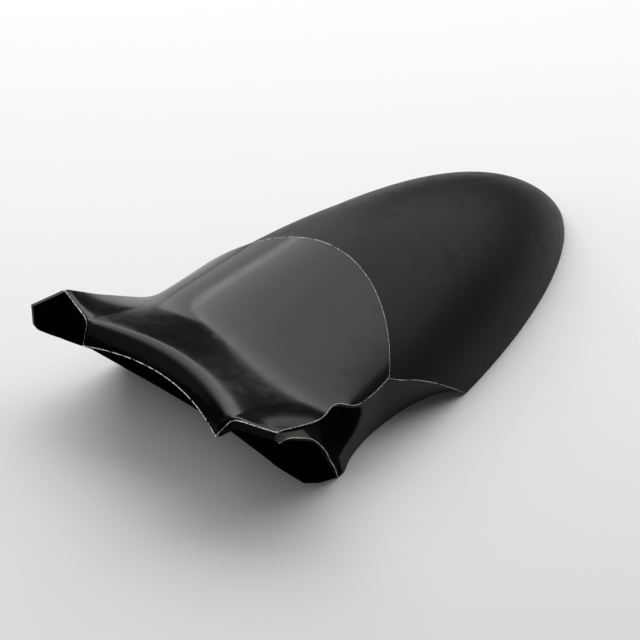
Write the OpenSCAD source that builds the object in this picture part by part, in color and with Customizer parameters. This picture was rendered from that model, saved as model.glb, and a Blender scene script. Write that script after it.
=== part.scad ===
// Rear fender of a motorcycle with a solo seat pan, one thin moulding of glass-fibre and black gelcoat.
// It rests on a floor on its trimmed lower edges. Front is -Y, the rider's left side is +X.
// Lengths along the part are measured back from the front edge of the seat arms.

/* [Moulding] */
// Thickness of the moulded skin
wall = 4; // [3:0.5:6]
// Depth of the cut face at the arm ends
arm_edge = 16; // [10:1:20]
// How far the rear edge of the seat pan stands above the fender skin on the centre line
seat_step = 1; // [0.5:0.25:2.5]
// How much more it stands above the skin at its right shoulder, and half as much at the left one
seat_shoulder = 5; // [3:0.5:6]

/* [Fender] */
// Distance from the arm ends back to the rear tip
tip_y = 733; // [680:1:800]
// Half width of the fender at the floor, at its widest
fender_half = 196; // [185:1:215]
// Height of the crown above the floor
crown_z = 152; // [140:1:165]
// Rise of the crown line behind the seat
crown_rise = 4; // [0:0.5:6]
// How much fuller the right side of the skin is behind the seat, and half as much the left side
skin_fullness = 5; // [0:0.5:6]
// Roundness of the cross-section at the seat, where 2 is an ellipse
front_power = 1.85; // [1.7:0.05:2]
// Roundness of the cross-section toward the tip
rear_power = 1.72; // [1.6:0.02:2]
// Height of the side arch, and the short lift that takes its edge up to the seat's corner
arch_z = 78; // [60:1:84]
arch_lift = 6; // [0:0.5:6]
// Distance from the arm ends back to the rear foot of the arch
arch_foot_y = 367; // [345:1:395]

/* [Seat] */
// Radius of the round step line behind the seat, seen from above
seat_r = 202; // [190:1:215]
// Distance from the arm ends back to the centre of the step line
seat_centre_y = 123; // [115:1:130]
// Half width of the seat pan at its waist
waist_half = 157; // [150:1:162]
// Half width across the outer corners of the arms
arm_half = 184; // [175:1:195]
// Height of the arms' top corners
arm_z = 154; // [140:1:165]
// Height of the rounded ridge at the front of the seat
ridge_z = 149; // [140:1:155]
// Forward slope of the rear part of the seat, in millimetres of fall per millimetre
seat_slope = 0.16; // [0.1:0.01:0.2]
// Backward slope of the front part of the seat on the centre line
dip_slope = 0.34; // [0.25:0.01:0.4]

/* [Front] */
// Half width of the concave arc cut in the front edge
arc_half = 115; // [100:1:125]
// Depth of the arc
arc_depth = 25; // [15:1:35]
// Height of the arc's ends
arc_z = 125; // [115:1:130]
// Rise of the arc at its middle
arc_rise = 7.5; // [4:0.5:10]
// Height of the lower lip of the front mouth at its middle
lip_z = 70; // [55:1:80]
// Distance from the arm ends back to the middle of the lower lip
lip_y = 61; // [50:1:70]

/* [Skirts] */
// Half width of the wheel tunnel between the skirts
tunnel_half = 144; // [138:1:150]
// Half width across the two front feet of the skirts
foot_half = 173; // [165:1:180]
// Distance from the arm ends back to the front feet
foot_y = 146; // [135:1:155]
// Reach of the right arm's wall in front of the arm ends
right_reach = 16; // [8:1:24]
// Half width across the flared sides of the arms
side_half = 188; // [186:0.5:196]
// Depth of the pocket pressed in the left skirt
pocket_depth = 21; // [10:1:24]
// Distance from the arm ends back to the middle of the pocket
pocket_y = 160; // [154:1:166]
// Height of the middle of the pocket
pocket_z = 60; // [52:1:66]

/* [Hidden] */

// Outline of the fender at the floor, and its crown line, as far as y back
outline_y = 200;
crown_y = 165;
rise_y = 300;
function span(y, y0) = max(0, min(1, (y - y0) / (tip_y - y0)));
function half_at(y) = fender_half * pow(1 - pow(span(y, outline_y), 1.65), 0.57);
function crown_at(y) =
    crown_z * pow(1 - pow(span(y, crown_y), 4), 0.78) + crown_rise * sin(180 * span(y, rise_y));

// How far the skin bulges above its plain oval, from nothing at the step line to full height further back
function bulge_at(x, y) =
    let (r = min(1, abs(x) / half_at(y)), back = soft((y - step_y(x)) / 100))
    skin_fullness * (0.75 - 0.25 * sign(x)) * sin(180 * r) * back * crown_at(y) / crown_z;
function power_at(y) = front_power + (rear_power - front_power) * max(0, min(1, (y - 300) / 130));

// A point of the fender skin at y, turned by a degrees from the crown toward the left side
function skin_point(y, a) =
    let (q = 2 / power_at(y), x = half_at(y) * sign(a) * pow(abs(sin(a)), q))
    [x, y, crown_at(y) * pow(max(0, cos(a)), q) + bulge_at(x, y)];

// Height of the fender skin over any place that it covers
function skin_z(x, y) =
    let (r = min(0.995, abs(x) / half_at(y)), p = power_at(y))
    crown_at(y) * pow(1 - pow(r, p), 1 / p);

// Where the step line crosses the side edge of the seat, and the arch that runs from there to the floor
joint_y = seat_centre_y + sqrt(seat_r * seat_r - waist_half * waist_half);
function arch_at(y) =
    let (s = max(0, (y - joint_y) / (arch_foot_y - joint_y)))
    s >= 1 ? 0 : arch_z * (1 - pow(s, 1.55)) + arch_lift * pow(max(0, 1 - 5 * s), 2);
function edge_angle(y, above = 0) = acos(pow(min(0.9, (arch_at(y) + above) / crown_at(y)), power_at(y) / 2));

// Column u of the skin runs down the crown's angle to the trimmed edge
function column_angle(u, y) =
    let (a = abs(u), e = edge_angle(y))
    sign(u) * (a < 0.4 ? 90 * a : 36 + (e - 36) * (a - 0.4) / 0.6);

// Distance back to the step line at x, and to the front edge of the skin, which starts just under the seat
lap = 5;
function step_y(x) = seat_centre_y + sqrt(seat_r * seat_r - x * x);
function lap_y(x) = seat_centre_y + sqrt(pow(seat_r - lap, 2) - x * x);
function lap_from_angle(u, n = 8, y = 300) =
    n == 0 ? y : lap_from_angle(u, n - 1, lap_y(skin_point(y, column_angle(u, y))[0]));

// Half width of the seat pan
waist_y = 158;
function pan_half(y) =
    y < waist_y
        ? waist_half + (arm_half - waist_half) * pow(min(1, (waist_y - y) / (waist_y - ridge_side_y)), 1.3)
        : waist_half + 4 * sin(180 * min(1, (y - waist_y) / (joint_y - waist_y)));

// Line where the front slope of the pan begins, and the rounded ridge in front of it
ridge_y = 53;
ridge_side_y = 33;
function slope_line(x) = ridge_y - (ridge_y - ridge_side_y) * pow(abs(x) / arm_half, 2);
function ridge_at(x) = ridge_y - (ridge_y - corner_y) * pow(x / corner_half, 2);

// Height of the seat pan: a rear part that rises to the step, and a front part that rises to the arms
blend = 11;
ease = 8;
function pan_rear(x, y) =
    let (c = min(abs(x), waist_half + 5), ys = step_y(c), v = min(1, c / waist_half),
         slope = seat_slope * (1 - 0.7 * v * v), shoulder = seat_shoulder * (0.75 - 0.25 * v * sign(x)))
    skin_z(c, ys) + seat_step + shoulder * sin(90 * v) - slope * (ys - y);
function pan_front(x, y) =
    let (t = pow(x / arm_half, 2), d = y - slope_line(x),
         slope = dip_slope + 0.25 * min(1.4, pow(x / waist_half, 2)))
    ridge_z - 9 * t + (arm_z - ridge_z + 9) * t * t - slope * (d + sqrt(d * d + ease * ease) - ease) / 2;
function pan_z(x, y) =
    let (a = pan_rear(x, y), b = pan_front(x, y)) (a + b + sqrt((a - b) * (a - b) + blend * blend)) / 2;

// Front edge of the seat: the concave arc, then the short side of the front face, then the arm's end
corner_half = 125;
corner_y = 19;
corner_z = 147;
// The lower of two values, with a soft change from one to the other
function lower(a, b, width = 5) = (a + b - sqrt((a - b) * (a - b) + width * width)) / 2;
function front_edge(x) =
    let (v = abs(x) / arc_half, k = (abs(x) - arc_half) / (corner_half - arc_half),
         m = (abs(x) - corner_half) / (arm_half - corner_half))
    v <= 1 ? [x, arc_depth * (1 - v * v), arc_z + arc_rise * (1 - v * v)]
    : [x, lower(corner_y * k, corner_y + (ridge_side_y - corner_y) * m),
       lower(arc_z + (corner_z - arc_z) * k, corner_z + (arm_z - corner_z) * m)];

// Closed shell from a grid of outer points, with a thickness for each point.
// rim_flat keeps the inner edge of the first and last column at the outer edge's height.
function grid_normal(g, i, j) =
    let (m = len(g) - 1, n = len(g[0]) - 1,
         a = g[min(i + 1, m)][j] - g[max(i - 1, 0)][j],
         b = g[i][min(j + 1, n)] - g[i][max(j - 1, 0)],
         c = cross(b, a))
    c / max(1e-6, norm(c));
function soft(s) = let (t = max(0, min(1, s))) t * t * (3 - 2 * t);
function tri(a, b, c) = (a == b || b == c || a == c) ? [] : [[a, b, c]];

module shell(g, thick, apex = false, rim_flat = false) {
    m = len(g);
    n = len(g[0]);
    outer = [for (i = [0:m - 1], j = [0:n - 1]) g[i][j]];
    inner = [for (i = [0:m - 1], j = [0:n - 1])
        let (p = g[i][j], q = p - thick[i][j] * grid_normal(g, i, j))
        (apex && i == m - 1) ? [p[0], p[1] - wall, p[2]]
        : (rim_flat && (j == 0 || j == n - 1) && p[2] < 0.01) ? [p[0] - sign(p[0]) * thick[i][j], p[1], p[2]]
        : [q[0], q[1], max(0, q[2])]];
    function at(i, j, side) = side * m * n + ((apex && i == m - 1) ? i * n : i * n + j);
    function quad(a, b, c, d) = concat(tri(a, b, c), tri(a, c, d));
    function cell(i, j, s) = s == 0
        ? quad(at(i, j, 0), at(i + 1, j, 0), at(i + 1, j + 1, 0), at(i, j + 1, 0))
        : quad(at(i, j, 1), at(i, j + 1, 1), at(i + 1, j + 1, 1), at(i + 1, j, 1));
    function low_rim(i) = quad(at(i, 0, 0), at(i, 0, 1), at(i + 1, 0, 1), at(i + 1, 0, 0));
    function high_rim(i) = quad(at(i, n - 1, 0), at(i + 1, n - 1, 0), at(i + 1, n - 1, 1), at(i, n - 1, 1));
    function start_rim(j) = quad(at(0, j, 0), at(0, j + 1, 0), at(0, j + 1, 1), at(0, j, 1));
    function end_rim(j) = quad(at(m - 1, j, 0), at(m - 1, j, 1), at(m - 1, j + 1, 1), at(m - 1, j + 1, 0));
    faces = [
        for (i = [0:m - 2], j = [0:n - 2], s = [0, 1]) each cell(i, j, s),
        for (i = [0:m - 2]) each concat(low_rim(i), high_rim(i)),
        for (j = [0:n - 2]) each start_rim(j),
        if (!apex) for (j = [0:n - 2]) each end_rim(j)];
    polyhedron(concat(outer, inner), faces, convexity = 10);
}
function even(g, t) = [for (row = g) [for (p = row) t]];

// Crowned rear skin, from under the seat to the tip. One row of points runs through the feet of the arches.
skin_rows = 26;
arch_rows = 8;
skin_cols = 24;
module fender_skin() {
    grid = [for (i = [0:skin_rows]) [for (j = [0:skin_cols])
        let (u = 2 * j / skin_cols - 1, ys = lap_from_angle(u),
             s = 1 - pow(1 - max(0, i - arch_rows) / (skin_rows - arch_rows), 1.5),
             y = i < arch_rows ? ys + (arch_foot_y - ys) * i / arch_rows
                : arch_foot_y + (tip_y - arch_foot_y) * s)
        i == skin_rows ? [0, tip_y, 0] : skin_point(y, column_angle(u, y))]];
    shell(grid, even(grid, wall), apex = true, rim_flat = true);
}

// Seat pan with its two arms and the rolled front face, thicker along the step line
front_rows = 6;
pan_rows = 20;
pan_side = [0, 0.1, 0.2, 0.3, 0.4, 0.5, 0.57, 0.625, 0.652, 0.68, 0.74, 0.8, 0.86, 0.92, 0.965, 1];
pan_cols = concat([for (k = [len(pan_side) - 1:-1:1]) -pan_side[k]], pan_side);
// Trim of the left edge over the pocket
function trim_at(y) = 9 * exp(-pow((y - 168) / 13, 2));
function pan_x(u, y) = u * (pan_half(y) - (u > 0 ? trim_at(y) * pow(u, 6) : 0));
function pan_point(u, y) = let (x = pan_x(u, y)) [x, y, pan_z(x, y)];
module seat_pan() {
    function start_y(u) = let (e = front_edge(u * arm_half)) max(ridge_at(e[0]), e[1] + 3);
    function end_y(u) = step_y(u * waist_half);
    function roll_point(u, k) =
        let (e = front_edge(u * arm_half), r = pan_point(u, start_y(u)),
             c = [(e[0] + r[0]) / 2, e[1] + 0.4 * (r[1] - e[1]), max(e[2], r[2])])
        (1 - k) * (1 - k) * e + 2 * k * (1 - k) * c + k * k * r;
    grid = concat(
        [for (i = [0:front_rows - 1]) [for (u = pan_cols) roll_point(u, i / front_rows)]],
        [for (i = [0:pan_rows]) [for (u = pan_cols)
            let (y0 = start_y(u), y1 = end_y(u)) pan_point(u, y0 + (y1 - y0) * i / pan_rows)]]);
    last = front_rows + pan_rows;
    thick = [for (i = [0:last]) [for (u = pan_cols) i > last - 2 ? wall + seat_step + 3 : wall]];
    shell(grid, thick);
}

// Cut face at the end of an arm, which hangs below the edge from the end of the arc to the outer corner
module arm_lip(side) {
    steps = 12;
    grid = [for (low = [1, 0]) [for (k = [0:steps])
        let (c = side > 0 ? k / steps : 1 - k / steps, x = arc_half + 2 + (arm_half - arc_half - 2) * c,
             drop = low * arm_edge * min(1, 0.25 + (x - arc_half) / 13) + (1 - low) * 1.5)
        front_edge(side * x) + [0, 0.6 + 0.1 * drop, -drop]]];
    shell(grid, even(grid, wall + 2));
}

// Side walls of the arms and the wheel tunnel. Each column of the wall is a curve at one distance back.
function floor_half(y) = lookup(y, [[foot_y, foot_half], [160, 170], [179, 160], [208, 151],
    [239, tunnel_half + 2], [272, tunnel_half], [303, tunnel_half + 1], [337, tunnel_half + 8], [351, 158],
    [arch_foot_y, 174]]);
function left_cut(y) = lookup(y, [[33, 140], [48, 138], [69, 125], [89, 109], [109, 79], [123, 50],
    [136, 25], [foot_y, 0]]);
function right_cut(y) = lookup(y, [[-right_reach, 127], [-10, 115], [62, 47], [110, 9], [124, 0]]);
function wall_top(y, left) =
    let (ahead = max(0, ridge_side_y - y) / (ridge_side_y + right_reach),
         x = left ? pan_x(1, y) : pan_half(y))
    y > joint_y ? let (p = skin_point(y, edge_angle(y, 4))) [p[0] - wall / 2, y, p[2]]
    : y > ridge_side_y ? [x - 3, y, pan_z(x, y) - 2]
    : [arm_half + (side_half - arm_half) * ahead, y, arm_z + 3 * ahead];
function wall_low(y, left) =
    let (z = left ? left_cut(y) : right_cut(y))
    [y > foot_y ? floor_half(y) : foot_half + (side_half - foot_half) * min(1, z / 80), y, z];

// Depth of the left wall's pocket between the wall's lower edge and its top
function pocket(y, z) =
    let (reach = y < pocket_y ? 52 : 46, r = norm([(y - pocket_y) / reach, (z - pocket_z) / 40]),
         low = left_cut(y), top = wall_top(y, true)[2])
    pocket_depth * soft((1 - r) / 0.45) * soft((top - 2 - z) / 14) * (low > 0 ? soft((z - low) / 14) : 1);
function left_wall_x(y, z) =
    let (a = wall_low(y, true), b = wall_top(y, true), t = max(0, min(1, (z - a[2]) / (b[2] - a[2]))))
    a[0] + (b[0] - a[0]) * t - pocket(y, z);

module side_wall(left) {
    front = left ? ridge_side_y : -right_reach;
    rear = arch_foot_y + 4;
    rows = left ? [0, 0.08, 0.15, 0.22, 0.29, 0.36, 0.44, 0.54, 0.66, 0.78, 0.87, 0.94, 1]
        : [0, 0.25, 0.5, 0.75, 1];
    stops = left ? [front, 108, 146, 212, rear] : [front, ridge_side_y, foot_y, 212, rear];
    steps = left ? [8, 9, 16, 12] : [3, 8, 5, 10];
    columns = concat(
        [for (n = [0:3], i = [0:steps[n] - 1]) stops[n] + (stops[n + 1] - stops[n]) * i / steps[n]], [rear]);
    grid = [for (y = columns) let (a = wall_low(y, left), b = wall_top(y, left))
        [for (t = rows) let (p = a + (b - a) * t) left ? [left_wall_x(y, p[2]), y, p[2]] : [-p[0], y, p[2]]]];
    outward = left ? [for (row = grid) [for (k = [len(rows) - 1:-1:0]) row[k]]] : grid;
    shell(outward, even(outward, wall));
}

// Front wall of the wheel tunnel. Its lower edge is the lip of the front mouth. On the left it runs down
// to the front foot, and on the right it runs level to the arm's wall.
lip_side_z = 42;
wall_top_y = 104;
module front_wall() {
    rows = 8;
    cols = 36;
    left_foot = [[0, 0, lip_y, lip_z], [0.6, 115, 72, 49], [0.7, 134, 73, lip_side_z], [0.78, 140, 86, 30],
        [0.87, 149, 110, 0], [0.94, 163, 124, 0], [1, foot_half - 2, foot_y, 0]];
    right_end = [[0, 0, lip_y, lip_z], [0.6, 115, 72, 49], [0.7, 134, 72, lip_side_z],
        [1, side_half - 7, 62, lip_side_z + 5]];
    function low_at(line, a, n) = lookup(a, [for (p = line) [p[0], p[n]]]);
    function low_point(v) =
        let (a = abs(v), line = v > 0 ? left_foot : right_end)
        [sign(v) * low_at(line, a, 1), low_at(line, a, 2),
         a < 0.7 ? lip_z - (lip_z - lip_side_z) * pow(a / 0.7, 2) : low_at(line, a, 3)];
    function top_point(v) =
        let (y = wall_top_y + 22 * v * v, x = v * (pan_half(y) - 4.5)) [x, y, pan_z(x, y) - 2];
    grid = [for (k = [0:rows]) [for (i = [0:cols])
        let (v = 2 * i / cols - 1, a = low_point(v), b = top_point(v), p = a + (b - a) * k / rows)
        p[2] > left_cut(p[1]) && v > 0 ? [min(p[0], left_wall_x(p[1], p[2]) - 2), p[1], p[2]] : p]];
    shell(grid, even(grid, wall));
}

module rear_fender() {
    color("#17181a")
    translate([0, -(tip_y - right_reach) / 2, 0])
    resize([2 * side_half, 0, 0])
    union() {
        fender_skin();
        seat_pan();
        arm_lip(1);
        arm_lip(-1);
        side_wall(true);
        side_wall(false);
        front_wall();
    }
}

rear_fender();
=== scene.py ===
import math
import bpy
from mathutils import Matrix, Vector, kdtree


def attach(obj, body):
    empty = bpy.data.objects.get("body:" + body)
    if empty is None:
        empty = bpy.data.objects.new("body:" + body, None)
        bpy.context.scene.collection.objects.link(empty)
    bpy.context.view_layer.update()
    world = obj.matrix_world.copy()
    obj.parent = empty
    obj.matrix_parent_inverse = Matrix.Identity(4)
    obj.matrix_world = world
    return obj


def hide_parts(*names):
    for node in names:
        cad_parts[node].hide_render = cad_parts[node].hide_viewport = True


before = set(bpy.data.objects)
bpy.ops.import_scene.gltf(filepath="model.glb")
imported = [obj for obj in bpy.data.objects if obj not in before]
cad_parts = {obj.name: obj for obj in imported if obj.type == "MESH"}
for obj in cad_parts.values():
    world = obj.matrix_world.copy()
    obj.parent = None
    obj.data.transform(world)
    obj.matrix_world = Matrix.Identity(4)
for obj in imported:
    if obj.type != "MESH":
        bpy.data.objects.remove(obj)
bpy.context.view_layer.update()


# ---------------------------------------------------------------- crowned tail
# The rear fender itself: a leaf-shaped crowned skin of hand-laid glass-fibre under black gelcoat,
# 4 mm thick. Its lower edge is sawn and sanded by hand: it lies flat on the floor behind the arches,
# and rises in an arch on each side to meet the corner of the seat.
WALL = 4.0
TIP_Y, MIDDLE_Y = 733.0, 358.5
FENDER_HALF, CROWN_Z = 196.0, 152.0
SEAT_R, SEAT_CENTRE_Y, WAIST_HALF = 202.0, 123.0, 157.0
ARCH_Z, ARCH_FOOT_Y = 78.0, 367.0
CROWN_RISE, SKIN_FULLNESS = 4.0, 5.0
TAPER_Y, LEAF_FORM, LEAF_TIP = 200.0, 1.65, 0.57
CROWN_Y, CROWN_TIP, RISE_Y = 165.0, 0.78, 300.0
ARCH_FORM, ARCH_CORNER = 1.55, 6.0


def clamp(value, low=0.0, high=1.0):
    return max(low, min(high, value))


def soft(value):
    t = clamp(value)
    return t * t * (3 - 2 * t)


def span_from(y, start):
    return clamp((y - start) / (TIP_Y - start))


def half_at(y):
    """Half the width of the leaf."""
    return FENDER_HALF * (1 - span_from(y, TAPER_Y) ** LEAF_FORM) ** LEAF_TIP


def crown_at(y):
    """Height of the middle line."""
    rise = CROWN_RISE * math.sin(math.pi * span_from(y, RISE_Y))
    return CROWN_Z * (1 - span_from(y, CROWN_Y) ** 4) ** CROWN_TIP + rise


def power_at(y):
    """How round a cut across the skin is: 2 is an oval, and less is flatter at the sides."""
    return 1.85 - 0.13 * clamp((y - RISE_Y) / 130)


def step_y(x, inset=0.0):
    """The round line between the seat and the tail."""
    return SEAT_CENTRE_Y + math.sqrt((SEAT_R - inset) ** 2 - x * x)


def bulge_at(x, y):
    """Behind the seat the skin is fuller than a plain oval, on the right more than on the left."""
    r = min(1.0, abs(x) / half_at(y))
    side = 0.75 - 0.25 * math.copysign(1, x)
    back = soft((y - step_y(x)) / 100)
    return SKIN_FULLNESS * side * math.sin(math.pi * r) * back * crown_at(y) / CROWN_Z


def skin_point(y, angle):
    q = 2 / power_at(y)
    x = half_at(y) * math.copysign(abs(math.sin(angle)) ** q, angle)
    return x, y, crown_at(y) * max(0.0, math.cos(angle)) ** q + bulge_at(x, y)


def skin_z(x, y):
    p = power_at(y)
    return crown_at(y) * (1 - min(0.995, abs(x) / half_at(y)) ** p) ** (1 / p)


JOINT_Y = SEAT_CENTRE_Y + math.sqrt(SEAT_R ** 2 - WAIST_HALF ** 2)


def arch_at(y):
    """Height of the sawn edge over the floor."""
    s = max(0.0, (y - JOINT_Y) / (ARCH_FOOT_Y - JOINT_Y))
    return 0.0 if s >= 1 else ARCH_Z * (1 - s ** ARCH_FORM) + ARCH_CORNER * max(0.0, 1 - 5 * s) ** 2


def rim_angle(y, above=0.0):
    if y >= TIP_Y:
        return math.pi / 2
    return math.acos(clamp((arch_at(y) + above) / crown_at(y), 0, 0.9) ** (power_at(y) / 2))


def column_angle(u, y):
    """The middle columns keep their angle round the crown, and the outer ones end on the sawn edge."""
    a, rim, inner = abs(u), rim_angle(y), math.radians(36)
    angle = a * math.pi / 2 if a < 0.4 else inner + (rim - inner) * (a - 0.4) / 0.6
    return math.copysign(angle, u)


ARCH_SHARE, UNDER_SEAT = 0.3, 5.0


def tail_point(row, col):
    """The first rows run from under the seat's step to the foot of the arch, and the rest to the tip."""
    u = 2 * col - 1
    start = 290.0
    for _ in range(12):
        start = step_y(skin_point(start, column_angle(u, start))[0], UNDER_SEAT)
    if row < ARCH_SHARE:
        y = start + (ARCH_FOOT_Y - start) * row / ARCH_SHARE
    else:
        left_over = 1 - (row - ARCH_SHARE) / (1 - ARCH_SHARE)
        y = ARCH_FOOT_Y + (TIP_Y - ARCH_FOOT_Y) * (1 - left_over ** 1.6)
    if row > 0.9999:
        return 0.0, TIP_Y, 0.0
    return skin_point(y, column_angle(u, y))


def moulded_sheet(name, rows, cols, place, trimmed=(), thickness=WALL, thicker=None, marks=None):
    """A grid is laid down, each of its points is moved to where the mould puts it, and it gets its wall.
    trimmed names the sawn sides: "sawn" keeps how far each point is from them, and "inside" is 1 within.
    marks gives each point two values: the distance to a line painted black as painted shadow, and how much
    painted shade a hollow gets.
    The inner faces take the second finish, which is the bare laminate."""
    bpy.ops.object.select_all(action='DESELECT')
    bpy.ops.mesh.primitive_grid_add(x_subdivisions=cols, y_subdivisions=rows, size=1)
    piece = bpy.context.object
    piece.name = name
    mesh = piece.data
    edge = {"start": [], "end": [], "low": [], "high": []}
    for v in mesh.vertices:
        col, row = round((v.co.x + 0.5) * cols) / cols, round((v.co.y + 0.5) * rows) / rows
        x, y, z = place(row, col)
        v.co = Vector((x, y - MIDDLE_Y, max(0.0, z))) / 1000
        for side, here in (("start", row == 0), ("end", row == 1), ("low", col == 0), ("high", col == 1)):
            if here:
                edge[side].append(v.co.copy())
    bpy.ops.object.mode_set(mode='EDIT')
    bpy.ops.mesh.select_all(action='SELECT')
    bpy.ops.mesh.remove_doubles(threshold=0.00002)
    bpy.ops.object.mode_set(mode='OBJECT')
    points = [p for side in trimmed for p in edge[side]]
    tree = kdtree.KDTree(len(points))
    for i, p in enumerate(points):
        tree.insert(p, i)
    tree.balance()
    sawn = mesh.attributes.new("sawn", 'FLOAT', 'POINT')
    for i, v in enumerate(mesh.vertices):
        sawn.data[i].value = tree.find(v.co)[2] if points else 1.0
    shadow_line_distance = mesh.attributes.new("shadow_line_distance", 'FLOAT', 'POINT')
    hollow_shade = mesh.attributes.new("hollow_shade", 'FLOAT', 'POINT')
    for i, v in enumerate(mesh.vertices):
        shadow_line_distance.data[i].value, hollow_shade.data[i].value = (
            marks(v.co.x * 1000, v.co.y * 1000 + MIDDLE_Y, v.co.z * 1000) if marks else (1.0, 0.0))
    outer = len(mesh.vertices)
    wall = piece.modifiers.new("wall", 'SOLIDIFY')
    wall.thickness, wall.offset = thickness / 1000, -1
    bpy.ops.object.modifier_apply(modifier="wall")
    inside = mesh.attributes.new("inside", 'FLOAT', 'POINT')
    for i, v in enumerate(mesh.vertices):
        inside.data[i].value = float(i >= outer)
        if thicker and i >= outer:
            v.co += (v.co - mesh.vertices[i - outer].co) * thicker(mesh.vertices[i - outer].co)
        v.co.z = max(0.0, v.co.z)
    for face in mesh.polygons:
        face.material_index = int(min(face.vertices) >= outer)
    return piece


# Painted shadow: a thin black line is painted on the tail along the step, under the seat's edge.
def tail_painted_shadow_line(x, y, z):
    return (y - step_y(x)) / 1000, 0.0


tail = moulded_sheet("tail", 130, 110, tail_point, ("low", "high"), marks=tail_painted_shadow_line)


# ---------------------------------------------------------------- seat pan
# The solo seat pan is moulded in one with the tail, and stands a little above it along a round line.
# It tilts forward behind, dips, and rises to a rounded ridge that rolls over the front,
# where a shallow arc is cut between two flared arms.
ARM_HALF, ARM_Z, RIDGE_Z = 184.0, 154.0, 149.0
ARM_FRONT_Y, RIDGE_Y, PAN_WAIST_Y = 33.0, 53.0, 158.0
ARC_HALF, ARC_DEPTH, ARC_Z, ARC_RISE = 115.0, 25.0, 125.0, 7.5
CORNER_HALF, CORNER_Y, CORNER_Z = 125.0, 19.0, 147.0
SEAT_STEP, SEAT_SHOULDER = 1.0, 5.0
REAR_TILT, RIDGE_FALL, RIDGE_FALL_SIDE, DIP_BLEND = 0.16, 0.34, 0.25, 11.0


def pan_half(y):
    """Half the width of the pan, which flares into the arms in front of its waist."""
    if y < PAN_WAIST_Y:
        flare = min(1.0, (PAN_WAIST_Y - y) / (PAN_WAIST_Y - ARM_FRONT_Y)) ** 1.3
        return WAIST_HALF + (ARM_HALF - WAIST_HALF) * flare
    return WAIST_HALF + 4 * math.sin(math.pi * min(1.0, (y - PAN_WAIST_Y) / (JOINT_Y - PAN_WAIST_Y)))


def slope_line(x):
    """Where the back of the ridge starts to fall towards the dip."""
    return RIDGE_Y - 20 * (x / ARM_HALF) ** 2


def ridge_at(x):
    """Where the pan's top starts to roll over the front."""
    return RIDGE_Y - 34 * (x / CORNER_HALF) ** 2


def pan_z(x, y):
    """Height of the pan: the tilted rear and the ridge in front, which meet softly in the dip."""
    c = min(abs(x), WAIST_HALF + 5)
    ys = step_y(c)
    v = min(1.0, c / WAIST_HALF)
    slope = REAR_TILT * (1 - 0.7 * v * v)
    shoulder = SEAT_SHOULDER * (0.75 - 0.25 * math.copysign(v, x))
    rise = SEAT_STEP + shoulder * math.sin(math.pi / 2 * v)
    rear = skin_z(c, ys) + rise - slope * (ys - y)
    crest = max(ridge_at(x), front_edge(x)[1] + 3) if abs(x) <= ARM_HALF else 36.0
    flat = max(0.0, slope_line(x) - crest)
    t, d, ease = (x / ARM_HALF) ** 2, y - slope_line(x) + 0.8 * flat, 8 + 0.3 * flat
    steep = RIDGE_FALL + RIDGE_FALL_SIDE * min(1.4, (x / WAIST_HALF) ** 2) - 0.0036 * flat
    front = (RIDGE_Z - 9 * t + (ARM_Z - RIDGE_Z + 9) * t * t
             - steep * (d + math.sqrt(d * d + ease * ease) - ease) / 2)
    return (rear + front + math.sqrt((rear - front) ** 2 + DIP_BLEND ** 2)) / 2


TRIM_Y, TRIM_DEPTH, FILL_Y, WAIST_FILL = 168.0, 9.0, 112.0, 5.0


def pan_x(u, y):
    """The left edge is trimmed over the pocket, and the right edge runs into its waist more gently."""
    left_trim = TRIM_DEPTH * math.exp(-((y - TRIM_Y) / (13 if y > TRIM_Y else 27)) ** 2)
    trim = left_trim if u > 0 else -WAIST_FILL * math.exp(-((y - FILL_Y) / 30) ** 2)
    return u * (pan_half(y) - trim * abs(u) ** 6)


def lower(a, b, width=5.0):
    """The lower of two values, with a soft change from one to the other."""
    return (a + b - math.sqrt((a - b) ** 2 + width * width)) / 2


def front_edge(x):
    """The cut front edge: the shallow arc, then the steep corner, then the end of the arm."""
    a = abs(x)
    if a <= ARC_HALF:
        v = 1 - (a / ARC_HALF) ** 2
        return x, ARC_DEPTH * v, ARC_Z + ARC_RISE * v
    k = (a - ARC_HALF) / (CORNER_HALF - ARC_HALF)
    m = (a - CORNER_HALF) / (ARM_HALF - CORNER_HALF)
    return (x, lower(CORNER_Y * k, CORNER_Y + (ARM_FRONT_Y - CORNER_Y) * m),
            lower(ARC_Z + (CORNER_Z - ARC_Z) * k, CORNER_Z + (ARM_Z - CORNER_Z) * m))


def pan_column(col):
    """More columns at the corners of the arc, where the front edge turns sharply."""
    c, arc_end, corner = abs(2 * col - 1), 0.625, CORNER_HALF / ARM_HALF
    if c < 0.6:
        u = arc_end * c / 0.6
    elif c < 0.8:
        u = arc_end + (corner - arc_end) * (c - 0.6) / 0.2
    else:
        u = corner + (1 - corner) * (c - 0.8) / 0.2
    return math.copysign(u, 2 * col - 1)


ROLL_SHARE = 0.2


def pan_point(row, col):
    """The first rows roll over the front, and the rest run back to the step."""
    u = pan_column(col)
    ex, ey, ez = front_edge(u * ARM_HALF)
    start, end = max(ridge_at(ex), ey + 3), step_y(u * WAIST_HALF)
    if row >= ROLL_SHARE:
        y = start + (end - start) * (row - ROLL_SHARE) / (1 - ROLL_SHARE)
        x = pan_x(u, y)
        return x, y, pan_z(x, y)
    k = row / ROLL_SHARE
    x = pan_x(u, start)
    z = pan_z(x, start)
    cx, cy, cz = (ex + x) / 2, ey + 0.4 * (start - ey), max(ez, z)
    a, b, c = (1 - k) ** 2, 2 * k * (1 - k), k * k
    return a * ex + b * cx + c * x, a * ey + b * cy + c * start, a * ez + b * cz + c * z


def thick_end(co):
    """The pan is thicker along the step, where it runs into the tail."""
    x, y = co.x * 1000, co.y * 1000 + MIDDLE_Y
    return 1.0 if abs(x) < 175 and y > step_y(x) - 9 else 0.0


pan = moulded_sheet("pan", 110, 130, pan_point, ("start", "end", "low", "high"), WALL, thick_end)


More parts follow.
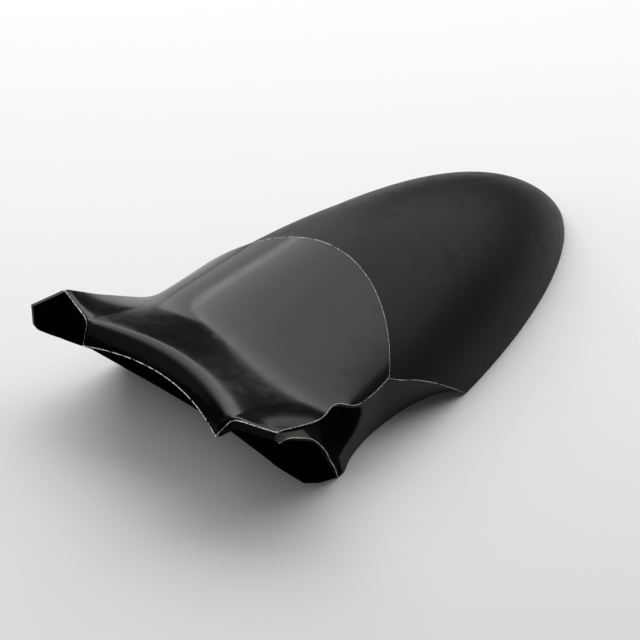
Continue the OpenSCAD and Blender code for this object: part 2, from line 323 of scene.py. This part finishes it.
# ---------------------------------------------------------------- cut faces of the arms
# At its front end each arm was sawn through, which leaves a face about 16 mm deep
# that was sanded and stayed black. Where it faces forward, it also takes the painted shade of the forward
# faces.
ARM_EDGE = 16.0


def arm_lip(side):
    def place(row, col):
        c = col if side > 0 else 1 - col
        end = ARM_HALF - (0 if side > 0 else WALL)
        x = ARC_HALF + 2 + (end - ARC_HALF - 2) * c
        ex, ey, ez = front_edge(side * x)
        deep = ARM_EDGE * min(1.0, 0.25 + (x - ARC_HALF) / 13)
        drop = deep + (1.5 - deep) * row
        return ex, ey + 0.6 + 0.1 * drop, ez - drop
    return moulded_sheet("arm_lip", 8, 40, place, (), WALL + 2)


lips = [arm_lip(1), arm_lip(-1)]


# ---------------------------------------------------------------- side walls
# The walls of the arms run down and back into the skirts of the wheel tunnel, which stand on the floor.
# The left one is trimmed back along a curve and has a pocket pressed in it. The right one is left long.
FOOT_Y, FOOT_HALF, SIDE_HALF, REACH = 146.0, 173.0, 188.0, 16.0
EDGE_INSET, UNDER_PAN = 3.0, 2.0


def along(stations, t, rounded=True):
    """A line through a few measured stations, read at t. It turns smoothly at them if it is rounded."""
    if t <= stations[0][0]:
        return stations[0][1]
    if t >= stations[-1][0]:
        return stations[-1][1]
    i = max(k for k in range(len(stations) - 1) if stations[k][0] <= t)

    def slope(k):
        lo, hi = max(0, k - 1), min(len(stations) - 1, k + 1)
        return (stations[hi][1] - stations[lo][1]) / (stations[hi][0] - stations[lo][0])
    (t0, v0), (t1, v1) = stations[i], stations[i + 1]
    width = t1 - t0
    s = (t - t0) / width
    if not rounded:
        return v0 + (v1 - v0) * s
    return ((2 * s ** 3 - 3 * s ** 2 + 1) * v0 + (s ** 3 - 2 * s ** 2 + s) * width * slope(i)
            + (3 * s ** 2 - 2 * s ** 3) * v1 + (s ** 3 - s ** 2) * width * slope(i + 1))


FLOOR_LINE = [(146, 173), (160, 170), (179, 160), (208, 151), (239, 146), (272, 144), (303, 145), (337, 152),
              (351, 158), (367, 174)]
LEFT_CUT = [(33, 140), (48, 138), (69, 125), (89, 109), (109, 79), (123, 50), (136, 25), (146, 0)]
RIGHT_CUT = [(-16, 127), (-10, 115), (62, 47), (110, 9), (124, 0)]
POCKET_Y, POCKET_Z, POCKET_DEPTH = 160.0, 60.0, 21.0
POCKET_FRONT, POCKET_BACK, POCKET_HIGH = 52.0, 46.0, 40.0


def wall_top(y, left):
    """The wall ends just inside the edge of the seat, and behind it just inside the arch."""
    if y > ARM_FRONT_Y:
        seat_x = pan_x(1, y) if left else -pan_x(-1, y)
        seat_z = pan_z(seat_x, y) - UNDER_PAN
        near_y = max(y, JOINT_Y - 60)
        arch_x, _, arch_z = skin_point(near_y, rim_angle(near_y, 4.0))
        back = soft((y - JOINT_Y + 45) / 90)
        inset = EDGE_INSET if left else 0.6 + (EDGE_INSET - 0.6) * soft((y - ARM_FRONT_Y) / 25)
        x = seat_x - inset + (arch_x - WALL / 2 - seat_x + inset) * back
        return x, arch_z if y > JOINT_Y else seat_z
    ahead = (ARM_FRONT_Y - y) / (ARM_FRONT_Y + REACH)
    return ARM_HALF + (SIDE_HALF - ARM_HALF) * ahead, ARM_Z + 3 * ahead


def wall_low(y, left):
    """The wall's lower edge: the cut in front of the foot, and the floor behind it."""
    z = clamp(along(LEFT_CUT if left else RIGHT_CUT, y), 0, 200)
    if y > FOOT_Y:
        return along(FLOOR_LINE, y), z
    return FOOT_HALF + (SIDE_HALF - FOOT_HALF) * min(1.0, z / 80), z


def pocket(y, z, low, top):
    reach = POCKET_FRONT if y < POCKET_Y else POCKET_BACK
    r = math.hypot((y - POCKET_Y) / reach, (z - POCKET_Z) / POCKET_HIGH)
    front = soft((z - low) / 14) if low > 0 else 1.0
    return POCKET_DEPTH * soft((1 - r) / 0.45) * soft((top - 2 - z) / 14) * front


def left_wall_x(y, z):
    (x0, z0), (x1, z1) = wall_low(y, True), wall_top(y, True)
    return x0 + (x1 - x0) * clamp((z - z0) / (z1 - z0)) - pocket(y, z, z0, z1)


def side_wall(left):
    front, rear = (ARM_FRONT_Y if left else -REACH), ARCH_FOOT_Y + 4

    def place(row, col):
        y = front + (rear - front) * (row if left else 1 - row)
        (x0, z0), (x1, z1) = wall_low(y, left), wall_top(y, left)
        t = 1 - col
        z = z0 + (z1 - z0) * t
        return left_wall_x(y, z) if left else -(x0 + (x1 - x0) * t), y, z

    def wall_painted_shade(x, y, z):
        """On the left, a line of painted shadow runs under the seat's edge, and the pocket and the wall in
        front of it are painted black as painted shade.
        """
        if not left:
            return 1.0, 0.0
        z0, z1 = wall_low(y, left)[1], wall_top(y, left)[1]
        # Painted shade: the pocket and the wall in front of it are painted black.
        before = soft((y - 72) / 26) * soft((POCKET_Y - y) / 10)
        hollow = max(pocket(y, z, z0, z1) / POCKET_DEPTH / 0.12, before)
        return (z1 - z) / 1000 if y < JOINT_Y else 1.0, min(1.0, hollow)

    return moulded_sheet("side_wall", 150, 60 if left else 20, place, ("high",), marks=wall_painted_shade)


walls = [side_wall(True), side_wall(False)]


# ---------------------------------------------------------------- front wall
# The front wall of the wheel tunnel. Its lower edge is the lip of the dark mouth under the seat.
# On the left it runs down to the front foot, and on the right it runs level to the arm's wall.
LEFT_FOOT = [(0, 0, 61, 66), (0.3, 57.5, 66.5, 63), (0.6, 115, 72, 51), (0.7, 134, 73, 48),
             (0.78, 140, 86, 30), (0.87, 149, 110, 0), (0.94, 163, 124, 0), (1, 171, 146, 0)]
RIGHT_END = [(0, 0, 61, 66), (0.3, 57.5, 66.5, 54), (0.6, 115, 72, 41), (0.7, 134, 72, 39), (1, 181, 62, 46)]


def front_wall():
    """A sheet from the lip up to the underside of the pan. It keeps inside the pocket of the left wall.
    Each station of the lip is its share of the width, then x, y and z."""
    def place(row, col):
        v = 2 * col - 1
        a, line = abs(v), (LEFT_FOOT if v > 0 else RIGHT_END)
        x, y, z = (along([(p[0], p[n]) for p in line], a, False) for n in (1, 2, 3))
        x = math.copysign(x, v)
        top_y = 104 + 22 * v * v
        top_x = v * (pan_half(top_y) - 4.5)
        top_z = pan_z(top_x, top_y) - UNDER_PAN
        x, y, z = x + (top_x - x) * row, y + (top_y - y) * row, z + (top_z - z) * row
        if v > 0 and z > along(LEFT_CUT, y):
            x = min(x, left_wall_x(y, z) - 2)
        return x, y, z
    return moulded_sheet("front_wall", 30, 110, place)


mouth = front_wall()


# ---------------------------------------------------------------- gelcoat, sawn edges and bare laminate
# Black gelcoat outside, a little dull from handling, with pale specks: glossy on the seat, dull on the tail
# and sanded on the walls, whose grey is painted much paler than the seat's as painted light. The sawn edges
# carry a pale line of dust, painted wider and paler on forward faces as a painted highlight. Forward faces,
# the left pocket and a line under the seat's edge and along the step are painted black as painted shade.
# Inside, the bare laminate is flat black.
class Wire:
    """One output of a material's nodes. Sums and products of wires add the Math nodes."""

    def __init__(self, tree, socket=None):
        self.tree, self.socket = tree, socket

    def make(self, kind, settings=None, values=None, out=0):
        """A new node with its settings, then its values or links, and the wire from its output."""
        node = self.tree.nodes.new(kind)
        for key, value in (settings or {}).items():
            setattr(node, key, value)
        for key, value in (values or {}).items():
            self.put(node.inputs[key], value)
        return Wire(self.tree, node.outputs[out])

    def put(self, target, value):
        if isinstance(value, Wire):
            self.tree.links.new(value.socket, target)
        else:
            target.default_value = value

    def sum(self, operation, a, b):
        return self.make("ShaderNodeMath", {"operation": operation}, {0: a, 1: b})

    def __add__(self, other):
        return self.sum('ADD', self, other)

    def __sub__(self, other):
        return self.sum('SUBTRACT', self, other)

    def __rsub__(self, other):
        return self.sum('SUBTRACT', other, self)

    def __mul__(self, other):
        return self.sum('MULTIPLY', self, other)

    def __truediv__(self, other):
        return self.sum('DIVIDE', self, other)

    __radd__, __rmul__ = __add__, __mul__

    def between(self, low, high):
        """0 below low, 1 above high, smooth in between."""
        return self.make("ShaderNodeMapRange", {"interpolation_type": 'SMOOTHSTEP'},
                         {0: self, 1: low, 2: high, 3: 0.0, 4: 1.0})

    def mix(self, a, b):
        """Colour a where this wire is 0, and colour b where it is 1."""
        return self.make("ShaderNodeMix", {"data_type": 'RGBA'}, {0: self, 6: a, 7: b}, 2)


def new_finish(name):
    finish = bpy.data.materials.new(name)
    finish.use_nodes = True
    shader = finish.node_tree.nodes["Principled BSDF"]
    return finish, shader, Wire(finish.node_tree)


def noise(wire, place, scale, detail=3.0, rough=0.55):
    return wire.make("ShaderNodeTexNoise", {}, {"Vector": place, "Scale": scale, "Detail": detail,
                                                "Roughness": rough})


def mark(wire, name):
    """A value stored on the points of the sheets."""
    return wire.make("ShaderNodeAttribute", {"attribute_name": name}, out=ATTRIBUTE_VALUE)


OBJECT_PLACE, OBJECT_NORMAL, ATTRIBUTE_VALUE = 3, 1, 2
DUST, PALE_SPECK, FIBRE = 0.8, 0.35, 0.12


def gelcoat(name, dark, light, roughness, shine, front_shade=0.85):
    """dark and light are the two ends of its clouds. front_shade is how much painted shade blackens its
    forward faces.
    """
    finish, shader, w = new_finish(name)
    place = w.make("ShaderNodeTexCoord", out=OBJECT_PLACE)
    facing = w.make("ShaderNodeSeparateXYZ", {}, {0: w.make("ShaderNodeTexCoord", out=OBJECT_NORMAL)}, 1)
    sawn, inside, shadow_line_distance, hollow_shade = (mark(w, name) for name in ("sawn", "inside", "shadow_line_distance", "hollow_shade"))
    cloud = noise(w, place, 9.0, 4.0)
    grime = noise(w, place, 55.0, 5.0, 0.6)
    dots = w.make("ShaderNodeTexVoronoi", {}, {"Vector": place, "Scale": 300.0})
    rare = noise(w, place, 31.0, 1.0)
    specks = (1 - dots.between(0.04, 0.09)) * rare.between(0.64, 0.68)
    ragged = noise(w, place, 300.0, 3.0, 0.7)
    # Painted shade: faces that look forward are mixed into black below, as much as front_shade says.
    forward = (0 - facing).between(0.10, 0.45)
    # On forward faces the line of dust is painted wider and paler: real dust, with a painted highlight on
    # it.
    width = 0.0005 + 0.0007 * noise(w, place, 40.0, 3.0) + 0.0006 * forward
    outer_rim = 1 - inside.between(0.10, 0.30)
    dust_line = (1 - (sawn / width).between(0.6, 1.1)) * ragged.between(0.36, 0.52) * outer_rim
    sawn_face = (1 - sawn.between(0.0, 0.0002)) * (1 - outer_rim)
    fibres = noise(w, place, 900.0, 2.0, 0.7).between(0.54, 0.66) * sawn_face
    pale = dust_line * DUST + specks * PALE_SPECK + fibres * FIBRE
    black = cloud.between(0.3, 0.7).mix((*dark, 1), (*light, 1))
    dust_and_highlight = forward.mix((0.45, 0.45, 0.44, 1), (0.90, 0.90, 0.88, 1))
    w.put(shader.inputs["Base Color"], pale.between(0.0, 1.0).mix(black, dust_and_highlight))
    w.put(shader.inputs["Roughness"], roughness + 0.05 * cloud + 0.09 * grime.between(0.45, 0.75))
    shader.inputs["Specular IOR Level"].default_value = shine
    w.put(shader.inputs["Normal"], w.make("ShaderNodeBump", {}, {
        "Strength": 0.10, "Distance": 0.0006, "Height": noise(w, place, 22.0, 3.0) + grime * 0.05}))
    # Painted shadow: a black line along the seat's edge. Painted shade: forward faces and the left wall's
    # hollows are mixed into black.
    painted_shadow_line = 1 - shadow_line_distance.between(0.0012, 0.0024)
    outside_painted_shade = (1 - painted_shadow_line) * (1 - forward * front_shade) * (1 - hollow_shade.between(0.2, 0.8) * 0.93)
    lit = outside_painted_shade * (1 - sawn_face * 0.7)
    paint_in_shade(w, finish, shader, (1 - lit) * (1 - dust_line) * (1 - fibres))
    return finish


def paint_in_shade(w, finish, shader, shade):
    """Painted shade: where shade is 1, the surface is swapped for a flat black that mirrors nothing."""
    black = finish.node_tree.nodes.new("ShaderNodeBsdfDiffuse")
    black.inputs["Color"].default_value = (0.0012, 0.0013, 0.0018, 1)
    mixed = w.make("ShaderNodeMixShader", {}, {1: Wire(w.tree, shader.outputs[0]),
                                               2: Wire(w.tree, black.outputs[0])})
    w.put(mixed.socket.node.inputs[0], shade)
    w.put(finish.node_tree.nodes["Material Output"].inputs["Surface"], mixed)


def bare_laminate():
    finish, shader, w = new_finish("bare_laminate")
    place = w.make("ShaderNodeTexCoord", out=OBJECT_PLACE)
    strands = w.make("ShaderNodeMapping", {}, {"Vector": place, "Scale": (60.0, 260.0, 160.0)})
    lay = noise(w, strands, 1.0, 4.0, 0.6) * 0.6 + noise(w, place, 130.0, 4.0) * 0.4
    w.put(shader.inputs["Base Color"],
          lay.between(0.35, 0.7).mix((0.0006, 0.0009, 0.0013, 1), (0.0018, 0.0026, 0.0034, 1)))
    w.put(shader.inputs["Roughness"], 0.5 + 0.25 * lay)
    shader.inputs["Specular IOR Level"].default_value = 0.0
    w.put(shader.inputs["Normal"], w.make("ShaderNodeBump", {}, {
        "Strength": 0.6, "Distance": 0.001, "Height": lay}))
    return finish


seat_finish = gelcoat("black_gelcoat", (0.0022, 0.0024, 0.0030), (0.0040, 0.0042, 0.0048), 0.12, 0.24)
tail_finish = gelcoat("dull_gelcoat", (0.0038, 0.0038, 0.0038), (0.0058, 0.0058, 0.0054), 0.40, 0.11)
# Painted light: the walls' grey is many times paler than the seat's, standing in for the light they get from
# the floor.
skirt_finish = gelcoat("sanded_gelcoat_painted_light", (0.032, 0.032, 0.028), (0.048, 0.048, 0.042), 0.60, 0.10, 0.0)
laminate = bare_laminate()
bpy.ops.object.select_all(action='DESELECT')
for part, finish in ((tail, tail_finish), (pan, seat_finish), *((lip, seat_finish) for lip in lips),
                     *((wall, skirt_finish) for wall in walls), (mouth, laminate)):
    part.data.materials.append(finish)
    part.data.materials.append(laminate)
    part.select_set(True)
bpy.context.view_layer.objects.active = tail
bpy.ops.object.join()
moulding = bpy.context.object
moulding.name = "moulding"
bpy.ops.object.shade_smooth_by_angle(angle=math.radians(38))
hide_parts("rear_fender")
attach(moulding, "root")


# ---------------------------------------------------------------- floor, light and camera
# A plain pale sheet on the floor under one broad soft window above and behind, with a small one low on the
# right and a weak fill in front. The room is darker low down behind. A long lens looks from the front left.
bpy.ops.object.select_all(action='DESELECT')
bpy.ops.mesh.primitive_plane_add(size=2.6, location=(0, 0, -0.0003))
floor = bpy.context.object
floor.name = "floor"
paper, paper_shader, _ = new_finish("pale_sheet")
paper_shader.inputs["Base Color"].default_value = (0.60, 0.594, 0.590, 1)
paper_shader.inputs["Roughness"].default_value = 0.9
paper_shader.inputs["Specular IOR Level"].default_value = 0.1
floor.data.materials.append(paper)

world = bpy.data.worlds.new("room")
bpy.context.scene.world = world
world.use_nodes = True
room = world.node_tree.nodes["Background"]
room.inputs["Color"].default_value = (0.97, 0.98, 1.0, 1)
sky = Wire(world.node_tree)
way_out = sky.make("ShaderNodeTexCoord")
to_left, to_rear, upward = (sky.make("ShaderNodeSeparateXYZ", {}, {0: way_out}, n) for n in range(3))
behind = (to_rear * 0.85 - to_left * 0.5).between(0.55, 0.80) * (1 - upward.between(0.25, 0.45))
sky.put(room.inputs["Strength"], 0.14 - 0.09 * behind)

target = Vector((0.0, -0.0687, 0.064))


def soft_lamp(name, direction, distance, size, power):
    """A flat lamp of a size in metres, which looks at the target from a direction."""
    light = bpy.data.lights.new(name, 'AREA')
    light.shape, light.size, light.size_y, light.energy = 'RECTANGLE', size[0], size[1], power
    lamp = bpy.data.objects.new(name, light)
    bpy.context.scene.collection.objects.link(lamp)
    way = Vector(direction).normalized()
    lamp.location = target + way * distance
    lamp.rotation_euler = way.to_track_quat('Z', 'Y').to_euler()
    return lamp


# Directions are seen from the object: x to its left, y to its tail, z up. Sizes are in metres.
soft_lamp("window", (-0.30, 0.525, 0.805), 2.6, (6.4, 2.7), 170)
soft_lamp("side_window", (-0.89, 0.40, 0.225), 2.6, (1.5, 1.3), 10)
soft_lamp("fill", (-0.35, -0.60, 0.72), 2.8, (2.6, 2.6), 31)

camera_data = bpy.data.cameras.new("camera")
camera_data.lens, camera_data.sensor_width = 162.0, 36.0
camera_data.shift_y = -2 / 640
camera_data.dof.use_dof = False
camera_data.clip_end = 100
camera = bpy.data.objects.new("camera", camera_data)
bpy.context.scene.collection.objects.link(camera)
azimuth, elevation = math.radians(44.6), math.radians(40)
toward = Vector((math.sin(azimuth) * math.cos(elevation), -math.cos(azimuth) * math.cos(elevation),
                 math.sin(elevation)))
camera.location = target + toward * 3.6
camera.rotation_euler = toward.to_track_quat('Z', 'Y').to_euler()
bpy.context.scene.camera = camera
bpy.context.scene.view_settings.view_transform = 'Standard'
